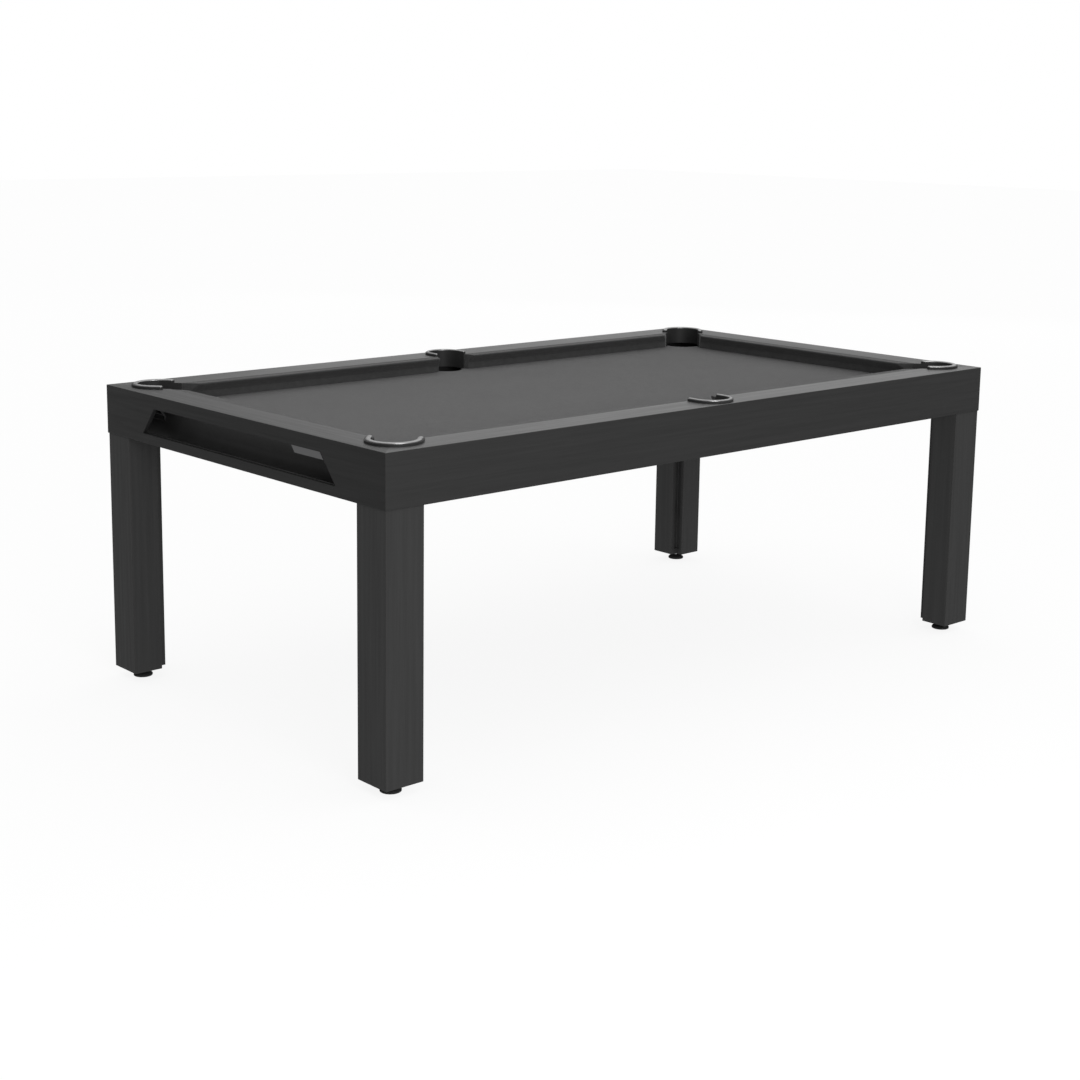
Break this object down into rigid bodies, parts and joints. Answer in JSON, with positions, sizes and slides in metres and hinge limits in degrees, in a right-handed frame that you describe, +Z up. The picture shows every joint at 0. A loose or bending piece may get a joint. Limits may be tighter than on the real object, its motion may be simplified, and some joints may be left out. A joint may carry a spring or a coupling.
{
  "type": "pool table",
  "caption": "Pool table on square legs with a cloth-covered slate bed, cushions, rimmed drop pockets, an open ball tray in one end and screw-adjustable feet.",
  "frame": {"origin": "on the floor, under the middle of the table", "axes": "+X along the table away from the ball tray, +Y across it, +Z up"},
  "size_m": [2.235, 1.245, 0.8211],
  "materials": {
    "black_board": "charcoal stained veneer under satin lacquer",
    "cap_board": "charcoal stained veneer under satin lacquer, grain along the rail",
    "cushion_cloth": "grey worsted billiard cloth over rubber",
    "bed_cloth": "grey worsted billiard cloth, stretched flat",
    "slate": "honed slate",
    "pocket_liner": "black moulded liner with a raised collar",
    "polished_rim": "polished metal",
    "frame_wood": "black-stained sawn timber",
    "black_steel": "black powder coat",
    "zinc_steel": "zinc plated",
    "gloss_plastic": "glossy black",
    "foot_rubber": "moulded black rubber",
    "name_plate": "brushed, left blank"
  },
  "bodies": {
    "table": {"apron_front": "black_board", "apron_rear": "black_board", "apron_tray_end": "black_board", "apron_plain_end": "black_board", "rail_cap_front": "cap_board", "rail_cap_rear": "cap_board", "rail_cap_tray_end": "cap_board", "rail_cap_plain_end": "cap_board", "cushion_tray_end": "cushion_cloth", "cushion_plain_end": "cushion_cloth", "cushion_front_plain": "cushion_cloth", "cushion_front_tray": "cushion_cloth", "cushion_rear_tray": "cushion_cloth", "cushion_rear_plain": "cushion_cloth", "bed_cloth": "bed_cloth", "slate_bed": "slate", "pocket_liner_front_tray": "pocket_liner", "pocket_rim_front_tray": "polished_rim", "pocket_liner_front_plain": "pocket_liner", "pocket_rim_front_plain": "polished_rim", "pocket_liner_rear_plain": "pocket_liner", "pocket_rim_rear_plain": "polished_rim", "pocket_liner_rear_tray": "pocket_liner", "pocket_rim_rear_tray": "polished_rim", "pocket_liner_front_middle": "pocket_liner", "pocket_rim_front_middle": "polished_rim", "pocket_liner_rear_middle": "pocket_liner", "pocket_rim_rear_middle": "polished_rim", "frame_beam_front": "frame_wood", "frame_beam_rear": "frame_wood", "frame_beam_tray_end": "frame_wood", "frame_beam_plain_end": "frame_wood", "cross_member_tray": "frame_wood", "cross_member_plain": "frame_wood", "gutter_front": "gloss_plastic", "gutter_rear": "gloss_plastic", "ball_tray": "gloss_plastic", "tray_hood_front": "gloss_plastic", "tray_hood_rear": "gloss_plastic", "name_plate": "name_plate", "leg_front_tray": "black_board", "leg_post_front_tray": "black_steel", "leg_mount_plate_front_tray": "black_steel", "leg_front_plain": "black_board", "leg_post_front_plain": "black_steel", "leg_mount_plate_front_plain": "black_steel", "leg_rear_plain": "black_board", "leg_post_rear_plain": "black_steel", "leg_mount_plate_rear_plain": "black_steel", "leg_rear_tray": "black_board", "leg_post_rear_tray": "black_steel", "leg_mount_plate_rear_tray": "black_steel"},
    "foot_front_tray": {"foot_pad_front_tray": "foot_rubber"},
    "stud_front_tray": {"foot_stud_front_tray": "zinc_steel"},
    "foot_front_plain": {"foot_pad_front_plain": "foot_rubber"},
    "stud_front_plain": {"foot_stud_front_plain": "zinc_steel"},
    "foot_rear_plain": {"foot_pad_rear_plain": "foot_rubber"},
    "stud_rear_plain": {"foot_stud_rear_plain": "zinc_steel"},
    "foot_rear_tray": {"foot_pad_rear_tray": "foot_rubber"},
    "stud_rear_tray": {"foot_stud_rear_tray": "zinc_steel"}
  },
  "joints": [
    {"name": "foot_height_front_tray", "type": "slide", "parent": "table", "child": "foot_front_tray", "axis": [0, 0, -1], "range_m": [0, 0.02]},
    {"name": "stud_turn_front_tray", "type": "hinge", "parent": "foot_front_tray", "child": "stud_front_tray", "pos_m": [-1.0605, -0.5655, 0.03], "axis": [0, 0, -1], "range_deg": [0, 4800]},
    {"name": "foot_height_front_plain", "type": "slide", "parent": "table", "child": "foot_front_plain", "axis": [0, 0, -1], "range_m": [0, 0.02]},
    {"name": "stud_turn_front_plain", "type": "hinge", "parent": "foot_front_plain", "child": "stud_front_plain", "pos_m": [1.0605, -0.5655, 0.03], "axis": [0, 0, -1], "range_deg": [0, 4800]},
    {"name": "foot_height_rear_plain", "type": "slide", "parent": "table", "child": "foot_rear_plain", "axis": [0, 0, -1], "range_m": [0, 0.02]},
    {"name": "stud_turn_rear_plain", "type": "hinge", "parent": "foot_rear_plain", "child": "stud_rear_plain", "pos_m": [1.0605, 0.5655, 0.03], "axis": [0, 0, -1], "range_deg": [0, 4800]},
    {"name": "foot_height_rear_tray", "type": "slide", "parent": "table", "child": "foot_rear_tray", "axis": [0, 0, -1], "range_m": [0, 0.02]},
    {"name": "stud_turn_rear_tray", "type": "hinge", "parent": "foot_rear_tray", "child": "stud_rear_tray", "pos_m": [-1.0605, 0.5655, 0.03], "axis": [0, 0, -1], "range_deg": [0, 4800]}
  ],
  "couplings": [
    {"joint": "stud_turn_front_tray", "follows": "foot_height_front_tray", "rad_per_m": 4188.8},
    {"joint": "stud_turn_front_plain", "follows": "foot_height_front_plain", "rad_per_m": 4188.8},
    {"joint": "stud_turn_rear_plain", "follows": "foot_height_rear_plain", "rad_per_m": 4188.8},
    {"joint": "stud_turn_rear_tray", "follows": "foot_height_rear_tray", "rad_per_m": 4188.8}
  ]
}
